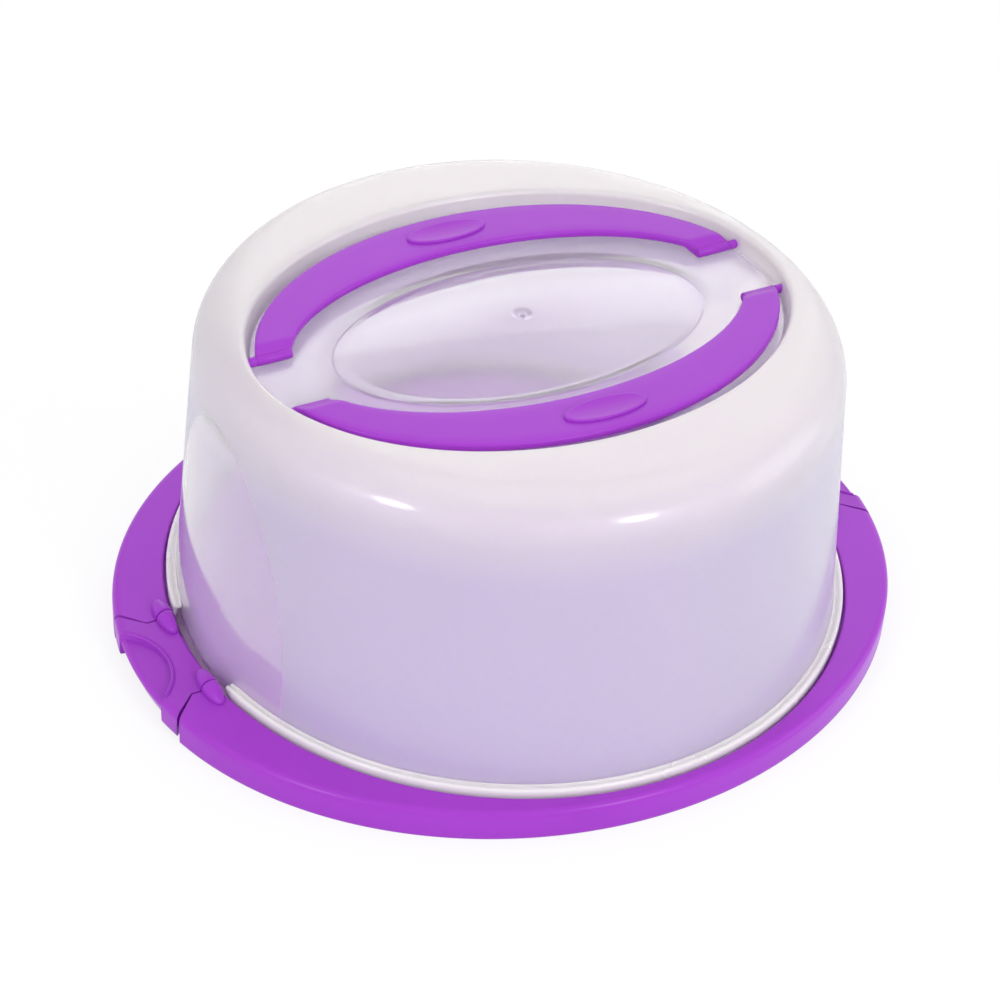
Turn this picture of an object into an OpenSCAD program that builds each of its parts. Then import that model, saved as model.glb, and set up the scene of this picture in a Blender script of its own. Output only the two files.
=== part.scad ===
// Cake carrier: an oval tray with two flap latches, and a lift-off frosted
// dome with two crescent carrying handles that fold down into a recess.
// Origin at the centre of the tray's underside, +Z up, long axis along X.

/* [Tray] */
// Diameter of the round opening in the rim
opening_d = 300; // [250:0.5:340]
// Width of the rim at the latches
rim_end_w = 24.4; // [23:0.2:30]
// Width of the rim at the sides
rim_side_w = 6.2; // [5:0.2:12]
// Height of the rim above the table
tray_height = 14; // [13:0.5:16]
// Wall of the tray moulding
tray_wall = 2.2; // [1.8:0.1:2.6]
// Radius of the rim's outer top edge
rim_edge_r = 3; // [1.5:0.1:4]
// Depth of the trough that takes the lid's lower edge
trough_depth = 6.3; // [6:0.1:7]
// Height of the cake plate above the trough
plate_rise = 2.2; // [1:0.1:3]
// Gap round the cake plate inside the lid
plate_gap = 3; // [2:0.1:6]
// Diameter of the inner foot ring
foot_ring_d = 124; // [90:1:200]
// Number of ribs under the cake plate
floor_ribs = 12; // [6:2:18]
// Number of ribs under the rim
rim_ribs = 24; // [12:4:36]
// Thickness of the ribs
rib_w = 1.6; // [1.2:0.1:2.4]
// Height of the ribs' lower edge above the table
rib_lift = 3; // [2:0.1:4]

/* [Lid] */
// Height of the closed carrier at the dome's crown
crown_height = 146.6; // [138:0.2:160]
// Wall of the lid
lid_wall = 2; // [1.6:0.1:2.4]
// Draft angle of the dome wall
lid_draft = 4.3; // [3:0.1:5]
// Radius of the dome's shoulder
shoulder_r = 21; // [16:0.5:26]
// Gap between the lid's flange and the rim opening
flange_gap = 1.3; // [0.8:0.1:2]
// Width of the flange outside the dome wall
flange_w = 3.7; // [3.3:0.1:4.5]
// Height of the flange's bead over the rim
bead_rise = 2.5; // [1.5:0.1:3]
// Height of the bead
bead_h = 6; // [5:0.1:6.5]
// Thickness of the bead and of the lower lip
flange_t = 1.4; // [1.2:0.1:1.6]
// Width of the lower lip outside the dome wall
lip_w = 2.6; // [2:0.1:3]
// Width of each clear window at the rim
window_w = 111; // [90:1:130]
// Height of each clear window above the bead
window_h = 110.5; // [90:0.5:112]
// Depth of the clear windows below the frosted skin
window_relief = 0.3; // [0.2:0.05:0.5]

/* [Handle recess] */
// Distance from the dome's foot in to the end of the oval recess
recess_end_margin = 27; // [26:0.2:34]
// Distance from the dome's foot in to the side of the recess
recess_side_margin = 55.2; // [50:0.2:62]
// Depth of the recess below the crown
recess_depth = 9.2; // [8.5:0.1:11]
// Radius of the recess lip
recess_lip_r = 2.5; // [1:0.1:3]
// How far the recess wall leans in
recess_lean = 1.2; // [0.6:0.1:2]
// Height of the crowned centre panel
panel_rise = 8; // [4:0.1:9]
// Distance from the handles' inner edge to the panel, lengthwise
panel_end_gap = 17.5; // [14:0.5:22]
// Distance from the handles' inner edge to the panel, crosswise
panel_side_gap = 10.5; // [10:0.5:16]
// Radius of the moulding dimple in the middle of the panel
dimple_r = 4.5; // [3:0.1:6]
// Depth of the dimple
dimple_depth = 0.9; // [0.5:0.1:1.2]

/* [Handles] */
// Gap between the handle's end arms and the recess wall
handle_end_gap = 3.5; // [3:0.1:5]
// Gap between the handle's grip and the recess wall
handle_side_gap = 6.6; // [5:0.1:9]
// Width of the end arms
arm_w = 13; // [11:0.2:15]
// Width of the grip in the middle of the handle
grip_w = 25.7; // [20:0.1:27]
// Thickness of the handle
handle_t = 3; // [2.6:0.1:3.4]
// How far the handle lies below the crown
handle_drop = 2.8; // [2:0.1:3]
// Rounding of the handle's edges
handle_edge_r = 1.1; // [0.6:0.1:1.2]
// Distance between the two handles' pivot lines
pivot_spread = 38; // [36:0.5:44]
// Diameter of the pivot pins
pivot_d = 4; // [3.6:0.1:4.2]
// Radial running clearance of every hinge pin
pin_clearance = 0.05; // [0.02:0.01:0.08]
// Length of pin inside its socket
pivot_depth = 4; // [3:0.1:5]
// Length of the thumb pad on the grip
pad_length = 37; // [25:0.5:44]
// Width of the thumb pad
pad_w = 13.4; // [9:0.1:16]
// Height of the thumb pad
pad_h = 1; // [0.5:0.1:1.3]
// Length of the slope from the grip's plate down to its barrels
arm_run = 5.5; // [5:0.1:6.5]

/* [Latches] */
// Half of the latch's width at its hinge
latch_half_w = 24.3; // [20:0.1:26]
// Angle at which the latch's sides spread outwards
latch_flare = 44; // [30:1:50]
// Parting gap round the latch
latch_gap = 0.5; // [0.4:0.05:0.8]
// Distance of the hinge line outside the rim opening
hinge_setback = 1; // [0.6:0.1:1.6]
// Height of the hinge line above the rim
hinge_rise = 0.5; // [0.3:0.1:0.8]
// Radius of the egg-shaped hinge knuckles
knuckle_r = 4.2; // [3.8:0.1:4.4]
// Length of a knuckle, both halves
knuckle_length = 23; // [18:0.5:26]
// Diameter of the latch's hinge pins
latch_pin_d = 3; // [2.4:0.1:3.2]
// Length of a hinge pin beyond the parting gap
latch_pin_length = 6; // [4:0.1:6.5]
// Height of the latch's lower edge above the table
latch_lift = 2.5; // [1.5:0.1:3]
// Length of the thumb scoop, from its crest to the tray's end
scoop_length = 14.4; // [11:0.1:15]
// Radius of the scoop's arched crest
scoop_r = 28.6; // [26:0.1:34]
// Depth of the scoop at its crest
scoop_step = 0.9; // [0.5:0.1:1.2]
// Fall of the scooped face towards the outer edge
scoop_fall = 1.2; // [0.5:0.1:1.6]
// How far the scooped outer face leans in at the bottom
scoop_lean = 2.5; // [1:0.1:3]
// Rounding of the scoop's outer edge
scoop_edge_r = 2.4; // [2:0.1:2.8]
// Step of the skirt behind the latch
ledge_inset = 7; // [6.5:0.1:7.5]
// Half of the width of the nose under the latch
nose_half_w = 14; // [8:0.5:18]
// Gap between the nose and the lid's lower lip
nose_gap = 0.4; // [0.35:0.05:0.6]

/* [Hidden] */

$fn = 120;
small_fn = 40;        // facets of pins and bores, which are true cylinders
over = 1;             // overshoot of a cutting shape
bite = 0.3;           // overlap of two shapes of one moulding
arc_steps = 4;        // straight steps in a small rounding
panel_steps = 6;      // straight steps up the centre panel
oval_steps = 72;      // straight sides of an oval
pad_steps = 36;       // straight sides of the thumb pad
knuckle_steps = 12;   // straight steps along an egg-shaped knuckle
purple = [0.67, 0.33, 0.86];
frosted = [0.93, 0.92, 0.94, 0.6];

opening_r = opening_d / 2;
tray_a = opening_r + rim_end_w;
tray_b = opening_r + rim_side_w;
trough_z = tray_height - trough_depth;
trough_underside = trough_z - tray_wall;
plate_z = trough_z + plate_rise;

// Lid: the dome wall leans in from its foot, which stands in the trough.
flange_r = opening_r - flange_gap;
foot_r = flange_r - flange_w;
lip_r = foot_r + lip_w;
shoulder_z = crown_height - shoulder_r;
shoulder_centre = foot_r - (shoulder_r + (shoulder_z - trough_z) * sin(lid_draft)) / cos(lid_draft);
bead_top = tray_height + bead_rise;
bead_bottom = bead_top - bead_h;
plate_r = foot_r - lid_wall - plate_gap;

recess_a = foot_r - recess_end_margin;
recess_b = foot_r - recess_side_margin;
recess_z = crown_height - recess_depth;
recess_foot = 1; // slope between the recess wall and its floor
handle_a = recess_a - handle_end_gap;
handle_b = recess_b - handle_side_gap;
grip_a = handle_a - arm_w;
grip_b = handle_b - grip_w;
panel_a = grip_a - panel_end_gap;
panel_b = grip_b - panel_side_gap;
panel_top = 0.12;         // the flat at the panel's crown, as a part of its size

handle_top = crown_height - handle_drop;
handle_underside = handle_top - handle_t;
barrel_r = pivot_d / 2 + 0.2;
floor_gap = 0.2; // under the handle's barrels
pivot_y = pivot_spread / 2;
pivot_z = recess_z + floor_gap + barrel_r;
barrel_length = arm_w + 2;
boss_wall = 2.2; // round and behind each pivot socket

socket_x = oval_x(recess_a - recess_lean, recess_b - recess_lean, pivot_y);
socket_end = socket_x + pivot_depth;

// The latch turns about a line just outside the rim opening.
hinge_x = opening_r + hinge_setback;
hinge_z = tray_height + hinge_rise;
hinge_y = latch_half_w + latch_gap / 2;
parting_run = knuckle_r + 4.1;          // straight part of the parting line
corner_x = hinge_x + parting_run;       // where it starts to flare
far_x = tray_a + knuckle_length / 2;    // clear outside the tray
near_x = opening_r - knuckle_length / 2; // clear inside the opening
swing_z = hinge_z - knuckle_r - 0.8;    // the latch's inner part stays above this
bead_stop = latch_half_w + 3.7;         // half of the flange's gap at each latch
nose_z = trough_z + flange_t + 0.5;
nose_t = 1;
nose_reach = 6;                         // from the rim opening in over the lid's lip
nose_root = 1.4;                        // outside the hinge line
scoop_turn = 80;                        // where the scoop's outer edge starts to turn over
scoop_set_in = 0.8;                     // of the scooped edge from the tray's end

// Half length of an oval with half axes a and b, at the distance y from its long axis.
function oval_x(a, b, y) = a * sqrt(1 - pow(y / b, 2));
function oval_ring(a, b, steps = oval_steps) =
    [for (i = [0:steps - 1]) [a * cos(i * 360 / steps), b * sin(i * 360 / steps)]];

function arc(centre, r, from, to, steps = arc_steps) =
    [for (i = [0:steps])
        let (turn = from + (to - from) * i / steps)
            centre + r * [cos(turn), sin(turn)]];

// A solid between ovals. ovals lists [half axis, half axis, height] from the
// bottom to the top.
module ring_solid(ovals, steps) {
    last = len(ovals) - 1;
    points = [for (r = ovals) for (q = oval_ring(r[0], r[1], steps)) [q[0], q[1], r[2]]];
    bottom = [for (i = [0:steps - 1]) i];
    top = [for (i = [steps - 1:-1:0]) last * steps + i];
    sides = [for (j = [0:last - 1]) for (i = [0:steps - 1])
        let (here = j * steps + i, next = j * steps + (i + 1) % steps)
            each [[here, here + steps, next], [next, here + steps, next + steps]]];
    polyhedron(points, concat([bottom, top], sides));
}

// The same for one oval, where edge lists [distance outside the oval, height].
module oval_solid(a, b, edge, steps = oval_steps) {
    ring_solid([for (p = edge) [a + p[0], b + p[0], p[1]]], steps);
}

module oval_prism(a, b, z0, z1) {
    translate([0, 0, z0]) linear_extrude(z1 - z0) polygon(oval_ring(a, b));
}

module tube(r, wall, z0, z1) {
    difference() {
        translate([0, 0, z0]) cylinder(r = r, h = z1 - z0);
        translate([0, 0, z0 - over]) cylinder(r = r - wall, h = z1 - z0 + 2 * over);
    }
}

module both_ends() {
    children();
    mirror([1, 0, 0]) children();
}

module both_sides() {
    children();
    mirror([0, 1, 0]) children();
}

// The tray's outer form, solid: a straight skirt with a rounded top edge.
module rim_form() {
    oval_solid(tray_a, tray_b,
        concat([[0, 0]], arc([-rim_edge_r, tray_height - rim_edge_r], rim_edge_r, 0, 90)));
}

// Plan of the latch, and of its pocket when grown by a gap.
module latch_plan(grow, z0, z1) {
    w = latch_half_w + grow;
    flare = (far_x - corner_x) * tan(latch_flare);
    translate([0, 0, z0])
        linear_extrude(z1 - z0)
            polygon([[near_x, -w], [corner_x, -w], [far_x, -w - flare],
                [far_x, w + flare], [corner_x, w], [near_x, w]]);
}

// The step of the skirt behind the latch.
module ledge_form(inset, top) {
    oval_prism(tray_a - inset, tray_b - inset, -over, top);
}

module pocket() {
    difference() {
        latch_plan(latch_gap, -2 * over, tray_height + 2 * knuckle_r);
        ledge_form(ledge_inset, trough_z);
    }
}

module pocket_walls() {
    intersection() {
        rim_form();
        difference() {
            latch_plan(latch_gap + tray_wall, 0, tray_height);
            latch_plan(latch_gap, -over, tray_height + over);
            translate([0, 0, -over]) cylinder(r = opening_r + tray_wall / 2, h = tray_height + 2 * over);
        }
    }
    intersection() {
        latch_plan(latch_gap + tray_wall, 0, trough_z);
        difference() {
            ledge_form(ledge_inset, trough_z);
            ledge_form(ledge_inset + tray_wall, trough_underside);
        }
    }
}

module rim_shell() {
    difference() {
        rim_form();
        difference() {
            oval_prism(tray_a - tray_wall, tray_b - tray_wall, -over, tray_height - tray_wall);
            translate([0, 0, -2 * over])
                cylinder(r = opening_r + tray_wall, h = tray_height + 4 * over);
        }
        translate([0, 0, -over]) cylinder(r = opening_r, h = tray_height + 2 * over);
    }
}

module tray_floor() {
    difference() {
        union() {
            translate([0, 0, trough_underside])
                cylinder(r = opening_r + tray_wall / 2, h = tray_wall);
            translate([0, 0, trough_underside]) cylinder(r = plate_r, h = plate_z - trough_underside);
        }
        translate([0, 0, trough_underside - over])
            cylinder(r = plate_r - tray_wall, h = plate_z - tray_wall - trough_underside + over);
    }
}

module tray_ribs() {
    under_plate = plate_z - tray_wall + bite;
    tube(foot_ring_d / 2, tray_wall, 0, under_plate);
    for (i = [0:floor_ribs - 1]) {
        rotate((i + 0.5) * 360 / floor_ribs)
            translate([foot_ring_d / 2 - tray_wall / 2, -rib_w / 2, rib_lift])
                cube([plate_r - foot_ring_d / 2, rib_w, under_plate - rib_lift]);
    }
    intersection() {
        oval_prism(tray_a - tray_wall / 2, tray_b - tray_wall / 2,
            rib_lift, tray_height - tray_wall + bite);
        difference() {
            for (i = [0:rim_ribs - 1]) {
                rotate((i + 0.5) * 360 / rim_ribs)
                    translate([opening_r + tray_wall / 2, -rib_w / 2, 0])
                        cube([tray_a, rib_w, tray_height]);
            }
            both_ends() latch_plan(latch_gap + tray_wall / 2, -over, tray_height + over);
        }
    }
}

// An egg-shaped knuckle on the hinge line, from a cut at the given distance
// along it to its far tip. A cut at minus its half length leaves it whole.
module knuckle(cut) {
    half = knuckle_length / 2;
    first = acos(-cut / half);
    translate([hinge_x, hinge_y, hinge_z])
        rotate([-90, 0, 0])
            rotate_extrude($fn = small_fn)
                polygon(concat(cut > -half ? [[0, cut]] : [],
                    [for (i = [0:knuckle_steps])
                        let (turn = first + (180 - first) * i / knuckle_steps)
                            [knuckle_r * sin(turn), -half * cos(turn)]]));
}

module latch_bore() {
    translate([hinge_x, hinge_y - latch_gap, hinge_z])
        rotate([-90, 0, 0])
            cylinder(r = latch_pin_d / 2 + pin_clearance,
                h = latch_pin_length + 2 * latch_gap, $fn = small_fn);
}

module base_tray() {
    color(purple)
        difference() {
            union() {
                difference() {
                    rim_shell();
                    both_ends() pocket();
                }
                both_ends() pocket_walls();
                tray_floor();
                tray_ribs();
                both_ends() both_sides() knuckle(latch_gap / 2);
            }
            both_ends() both_sides() latch_bore();
        }
}

// The dome's outline, moved in by inset, from foot level up to the crown.
module dome(inset, foot) {
    drop = (trough_z - foot) * tan(lid_draft);
    rotate_extrude()
        polygon(concat([[0, foot], [foot_r - inset / cos(lid_draft) + drop, foot]],
            arc([shoulder_centre, shoulder_z], shoulder_r - inset, lid_draft, 90, 4 * arc_steps),
            [[0, crown_height - inset]]));
}

// The flange's outer bead, with a ridge along each edge and a groove between them.
module bead() {
    ridge = flange_t / 2;
    edge = flange_t / 7;
    inner = foot_r - flange_t;
    groove = foot_r + flange_t;
    rotate_extrude()
        polygon([[inner, bead_top - 2 * flange_t], [inner, bead_top - ridge],
            [foot_r + edge, bead_top - edge], [foot_r + ridge, bead_top - edge],
            [groove, bead_top - ridge], [groove + edge, bead_top - ridge],
            [flange_r - ridge - 2 * edge, bead_top], [flange_r - ridge, bead_top],
            [flange_r, bead_top - ridge], [flange_r, bead_bottom], [flange_r - flange_t, bead_bottom],
            [flange_r - flange_t, bead_top - flange_t - ridge]]);
}

module flange() {
    difference() {
        bead();
        for (side = [-1, 1]) {
            translate([side * opening_r, 0, bead_bottom + bead_h / 2])
                cube([opening_r / 2, 2 * bead_stop, 2 * bead_h], center = true);
        }
    }
    tube(lip_r, lip_w + lid_wall / 2, trough_z, trough_z + flange_t);
}

// The oval recess: its void when grow is 0, its outer skin when grow is the wall.
module recess(grow) {
    wall_top = crown_height - recess_lip_r;
    oval_solid(recess_a, recess_b,
        concat([[grow - recess_lean - recess_foot, recess_z - grow],
                [grow - recess_lean, recess_z - grow + recess_foot]],
            grow > 0 ? [[grow, crown_height]]
                : concat(arc([recess_lip_r, wall_top], recess_lip_r, 180, 90),
                    [[recess_lip_r + over / 2, crown_height + over]])));
}

// Height of the crowned centre panel where it has shrunk to the given part of its size.
function panel_z(part) = recess_z + panel_rise * (1 - pow(part, 2));

module panel(lower, foot) {
    ring_solid(concat([[panel_a, panel_b, foot]],
        [for (i = [0:panel_steps])
            let (part = 1 - (1 - panel_top) * i / panel_steps)
                [panel_a * part, panel_b * part, panel_z(part) - lower]]), oval_steps);
}

module pin_socket(r, x0, x1) {
    both_sides()
        translate([x0, pivot_y, pivot_z])
            rotate([0, 90, 0])
                cylinder(r = r, h = x1 - x0, $fn = small_fn);
}

// The boss behind each socket, which runs up into the crown.
module socket_boss() {
    r = pivot_d / 2 + boss_wall;
    x0 = socket_x - over;
    x1 = socket_end + boss_wall;
    pin_socket(r, x0, x1);
    both_sides() translate([x0, pivot_y - r, pivot_z]) cube([x1 - x0, 2 * r, crown_height - pivot_z]);
}

module window() {
    cut = window_relief;
    difference() {
        translate([0, 0, bead_top])
            intersection() {
                rotate([90, 0, 90]) oval_window();
                translate([0, -window_w, 0]) cube([foot_r + over, 2 * window_w, window_h + over]);
            }
        dome(cut, 0);
    }
}

module oval_window() {
    rotate(90) oval_prism(window_h, window_w / 2, foot_r / 2, foot_r + over);
}

module dimple() {
    translate([0, 0, panel_z(panel_top)])
        rotate_extrude($fn = small_fn)
            polygon([[0, -dimple_depth / 2], [dimple_r / 6, -dimple_depth / 2],
                [dimple_r / 5, -dimple_depth], [dimple_r / 2, -dimple_depth],
                [dimple_r, 0], [dimple_r, over], [0, over]]);
}

module lid() {
    color(frosted)
        difference() {
            union() {
                difference() {
                    dome(0, trough_z);
                    dome(lid_wall, trough_z - over);
                }
                flange();
                intersection() {
                    recess(lid_wall);
                    dome(lid_wall / 2, trough_z);
                }
                both_ends() intersection() {
                    socket_boss();
                    dome(lid_wall / 2, trough_z);
                }
            }
            difference() {
                recess(0);
                panel(0, recess_z - over);
            }
            panel(lid_wall, recess_z - lid_wall - over);
            both_ends()
                pin_socket(pivot_d / 2 + pin_clearance, socket_x - 3 * over, socket_end + pin_clearance);
            both_ends() window();
            dimple();
        }
}

// The crescent's plan between two ovals, with its top edges rounded.
module crescent() {
    low = pivot_z - barrel_r - over;
    crest = handle_top - handle_edge_r;
    difference() {
        oval_solid(handle_a, handle_b,
            concat([[0, low]], arc([-handle_edge_r, crest], handle_edge_r, 0, 90)));
        oval_solid(grip_a, grip_b,
            concat([[0, low - over]], arc([handle_edge_r, crest], handle_edge_r, 180, 90),
                [[handle_edge_r + over / 4, handle_top + over]]));
    }
}

module handle_pins() {
    for (side = [-1, 1]) {
        arm_x = oval_x(handle_a, handle_b, pivot_y);
        translate([side * arm_x, pivot_y, pivot_z])
            rotate([0, 90 * side, 0]) {
                translate([0, 0, -over])
                    cylinder(d = pivot_d, h = socket_end - arm_x + over, $fn = small_fn);
                translate([0, 0, -barrel_length])
                    cylinder(r = barrel_r, h = barrel_length, $fn = small_fn);
            }
    }
}

// Side view of the handle: the grip's plate, and the arms that slope down to the barrels.
module handle_side() {
    rotate([90, 0, 90])
        translate([0, 0, -handle_a])
            linear_extrude(2 * handle_a)
                polygon([[pivot_y, pivot_z - barrel_r], [pivot_y + arm_run, handle_underside],
                    [handle_b + over, handle_underside], [handle_b + over, handle_top + over],
                    [pivot_y + arm_run + over, handle_top + over],
                    [pivot_y + barrel_r / 2, pivot_z + barrel_r], [pivot_y, pivot_z + barrel_r]]);
}

module thumb_pad() {
    translate([0, (handle_b + grip_b) / 2, 0])
        oval_solid(pad_length / 2, pad_w / 2,
            concat([[0, handle_top - bite]], arc([-pad_h, handle_top], pad_h, 0, 90)), pad_steps);
}

module handle() {
    color(purple)
        union() {
            intersection() {
                crescent();
                handle_side();
            }
            handle_pins();
            thumb_pad();
        }
}

module rear_handle() {
    handle();
}

module front_handle() {
    rotate(180) handle();
}

// The scooped face: it falls outwards, turns over the edge and leans in.
module scoop_face(inset) {
    crest_x = tray_a - scoop_length;
    top_x = tray_a - scoop_set_in - inset;
    crest_z = tray_height - scoop_step - inset;
    top_z = crest_z - scoop_fall;
    lean = atan2(scoop_lean, tray_height - latch_lift);
    rotate([90, 0, 0])
        translate([0, 0, -tray_b])
            linear_extrude(tray_b * 2)
                polygon(concat([[crest_x - scoop_length, -2 * over], [crest_x - scoop_length, crest_z],
                    [crest_x, crest_z]],
                    arc([top_x - scoop_edge_r, top_z - scoop_edge_r], scoop_edge_r, scoop_turn, -lean),
                    [[top_x - scoop_edge_r - scoop_lean, -2 * over]]));
}

module scoop(grow, inset) {
    difference() {
        translate([tray_a - scoop_length + scoop_r, 0, -over])
            cylinder(r = scoop_r + grow, h = tray_height + 2 * over);
        scoop_face(inset);
    }
}

module latch_hollow() {
    difference() {
        intersection() {
            oval_prism(tray_a - tray_wall, tray_b - tray_wall, -over, tray_height - tray_wall);
            latch_plan(-tray_wall, -over, tray_height);
        }
        scoop(tray_wall, tray_wall);
    }
}

// Keeps the latch's inner part high enough to swing over the ledge.
module swing_room() {
    translate([0, -tray_b, -over]) cube([corner_x, 2 * tray_b, swing_z + over]);
    ledge_form(ledge_inset - latch_gap, trough_z + latch_gap);
}

module nose() {
    tip_x = opening_r - nose_reach;
    neck_x = opening_r + nose_gap;
    root_x = hinge_x + nose_root;
    root_z = tray_height - tray_wall + bite;
    difference() {
        rotate([90, 0, 0])
            translate([0, 0, -nose_half_w])
                linear_extrude(2 * nose_half_w)
                    polygon([[tip_x, nose_z], [root_x, nose_z], [root_x, root_z], [neck_x, root_z],
                        [neck_x, nose_z + nose_t + nose_gap], [tip_x, nose_z + nose_t]]);
        cylinder(r = lip_r + nose_gap, h = tray_height);
    }
}

module latch_pins() {
    both_sides()
        translate([hinge_x, hinge_y - 4 * latch_gap, hinge_z])
            rotate([-90, 0, 0])
                cylinder(d = latch_pin_d, h = latch_pin_length + 4 * latch_gap, $fn = small_fn);
}

module latch() {
    color(purple)
        union() {
            difference() {
                intersection() {
                    union() {
                        difference() {
                            rim_form();
                            rotate(180 / oval_steps)
                                oval_prism(opening_r, opening_r, -over, tray_height + over);
                        }
                        both_sides() knuckle(-knuckle_length / 2);
                    }
                    latch_plan(0, latch_lift, tray_height + 2 * knuckle_r);
                }
                scoop(0, 0);
                latch_hollow();
                swing_room();
            }
            nose();
            latch_pins();
        }
}

module right_latch() {
    latch();
}

module left_latch() {
    rotate(180) latch();
}

base_tray();
lid();
front_handle();
rear_handle();
left_latch();
right_latch();
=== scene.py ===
import bmesh
import bpy
import math
import numpy as np
from mathutils import Matrix, Vector


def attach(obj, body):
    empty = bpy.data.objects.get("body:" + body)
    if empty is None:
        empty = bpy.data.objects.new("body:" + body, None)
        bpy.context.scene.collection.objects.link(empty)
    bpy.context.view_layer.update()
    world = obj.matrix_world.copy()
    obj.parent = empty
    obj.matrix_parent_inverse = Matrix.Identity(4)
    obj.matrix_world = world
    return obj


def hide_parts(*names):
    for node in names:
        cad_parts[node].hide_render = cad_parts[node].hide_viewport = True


# Cake carrier: purple tray with two flap latches, frosted dome, two crescent handles.
# Everything is worked out in millimetres and put into the mesh in metres. A grid is a pair
# (points, wrap): points is (rows, columns, 3), wrap joins its last column to the first.

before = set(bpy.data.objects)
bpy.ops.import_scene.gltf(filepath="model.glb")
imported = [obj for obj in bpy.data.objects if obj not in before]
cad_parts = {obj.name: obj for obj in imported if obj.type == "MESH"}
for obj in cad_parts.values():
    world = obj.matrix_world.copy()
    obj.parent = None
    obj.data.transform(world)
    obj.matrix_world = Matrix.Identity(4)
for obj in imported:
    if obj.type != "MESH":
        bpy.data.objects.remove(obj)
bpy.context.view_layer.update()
millimetre = 0.001
mergeWithin, tooShort = 4e-6, 1e-6   # in metres: points that are one, edges that are none
tau = 2 * math.pi
print("stage: frame loaded,", len(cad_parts), "CAD nodes")


def hexToLinear(code):
    # sRGB hex to the linear numbers that a shader takes, with alpha 1
    values = [int(code[i:i + 2], 16) / 255 for i in (0, 2, 4)]
    return [v / 12.92 if v <= 0.04045 else ((v + 0.055) / 1.055) ** 2.4 for v in values] + [1.0]


def addNode(tree, kind, settings=None, inputs=None):
    # one node: settings are its own fields, inputs are numbers or (node, output) links
    node = tree.nodes.new(kind)
    for field, value in (settings or {}).items():
        setattr(node, field, value)
    for key, value in (inputs or {}).items():
        if isinstance(value, tuple) and isinstance(value[0], bpy.types.Node):
            tree.links.new(value[0].outputs[value[1]], node.inputs[key])
        else:
            node.inputs[key].default_value = value
    return node


def newMaterial(name):
    material = bpy.data.materials.new(name)
    material.use_nodes = True
    material.node_tree.nodes.clear()
    return material, material.node_tree


def arcPoints(centre, radius, fromDeg, toDeg, steps):
    # centre + radius * (cos, sin), from one angle to the other
    turn = np.radians(np.linspace(fromDeg, toDeg, steps + 1))
    return np.stack([centre[0] + radius * np.cos(turn), centre[1] + radius * np.sin(turn)], 1)


def ovalRings(halfX, halfY, heights, turn):
    # rings of an oval: x = halfX cos t, y = halfY sin t, one ring for each height
    halfX, halfY, heights = (np.asarray(v, float)[:, None] for v in (halfX, halfY, heights))
    flat = np.ones_like(turn)[None, :]
    return np.stack([halfX * np.cos(turn), halfY * np.sin(turn), heights * flat], 2)


def revolve(profile, turn):
    # a profile of (radius, height) carried round the Z axis
    profile = np.asarray(profile, float)
    return ovalRings(profile[:, 0], profile[:, 0], profile[:, 1], turn)


def gridFaces(rows, columns, offset, wrap):
    # quads between neighbouring rows and columns; wrap joins the last column to the first
    row = np.arange(rows - 1)[:, None]
    column = np.arange(columns if wrap else columns - 1)[None, :]
    following = (column + 1) % columns
    corners = [row * columns + column, row * columns + following,
               (row + 1) * columns + following, (row + 1) * columns + column]
    return offset + np.stack([c.ravel() for c in corners], 1)


def makePiece(name, grids, body, material, stands, sharpDeg):
    # The grids become one mesh, in which doubles are merged and the normals recalculated, so
    # that the highest face looks up.
    points, faces, count = [], [], 0
    for grid, wrap in grids:
        rows, columns = grid.shape[:2]
        faces.append(gridFaces(rows, columns, count, wrap))
        points.append(grid.reshape(-1, 3) * millimetre)
        count += rows * columns
    mesh = bpy.data.meshes.new(name)
    mesh.from_pydata(np.concatenate(points).tolist(), [], np.concatenate(faces).tolist())
    work = bmesh.new()
    work.from_mesh(mesh)
    bmesh.ops.remove_doubles(work, verts=work.verts, dist=mergeWithin)
    bmesh.ops.dissolve_degenerate(work, edges=work.edges, dist=tooShort)
    bmesh.ops.recalc_face_normals(work, faces=work.faces)
    highest = max(work.faces, key=lambda face: face.calc_center_median().z)
    if highest.normal.z < 0:
        bmesh.ops.reverse_faces(work, faces=work.faces)
    work.to_mesh(mesh)
    work.free()
    mesh.shade_smooth()
    mesh.set_sharp_from_angle(angle=math.radians(sharpDeg))
    piece = bpy.data.objects.new(name, mesh)
    bpy.context.collection.objects.link(piece)
    mesh.materials.append(material)
    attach(piece, body)
    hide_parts(*stands)
    return piece


def makePurple(name, grids, body, node, sharpDeg=32):
    return makePiece(name, grids, body, purplePlastic, [node], sharpDeg)


def makeNatural(name, grids, material):
    return makePiece(name, grids, "lid_body", material, ["lid"], 60)


def addBevel(piece, width, segments, angleDeg):
    # rounds the edges that are sharper than the angle
    bevel = piece.modifiers.new("edge", "BEVEL")
    bevel.width = width * millimetre
    bevel.segments = segments
    bevel.limit_method = "ANGLE"
    bevel.angle_limit = math.radians(angleDeg)
    bevel.harden_normals = True


def addWall(piece, thickness):
    # gives an open skin its wall, on the inner side
    wall = piece.modifiers.new("wall", "SOLIDIFY")
    wall.thickness = thickness * millimetre
    wall.offset = -1
    wall.use_even_offset = True
    wall.thickness_clamp = 1.0


def halfTurn(grids):
    # the same grids turned half a turn about Z: x and y change sign
    return mirrored(mirrored(grids, 0), 1)


def mirrored(grids, axis):
    # the same grids with the sign of one coordinate changed
    sign = np.ones(3)
    sign[axis] = -1
    return [(grid * sign, wrap) for grid, wrap in grids]


def turnedAboutLine(x, z, along, radius, sides):
    # a turned shape on a line parallel to Y: a radius for each position along the line
    turn = np.linspace(0, tau, sides, endpoint=False)
    return np.stack([x + radius[:, None] * np.cos(turn), along[:, None] * np.ones_like(turn),
                     z + radius[:, None] * np.sin(turn)], 2)


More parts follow.
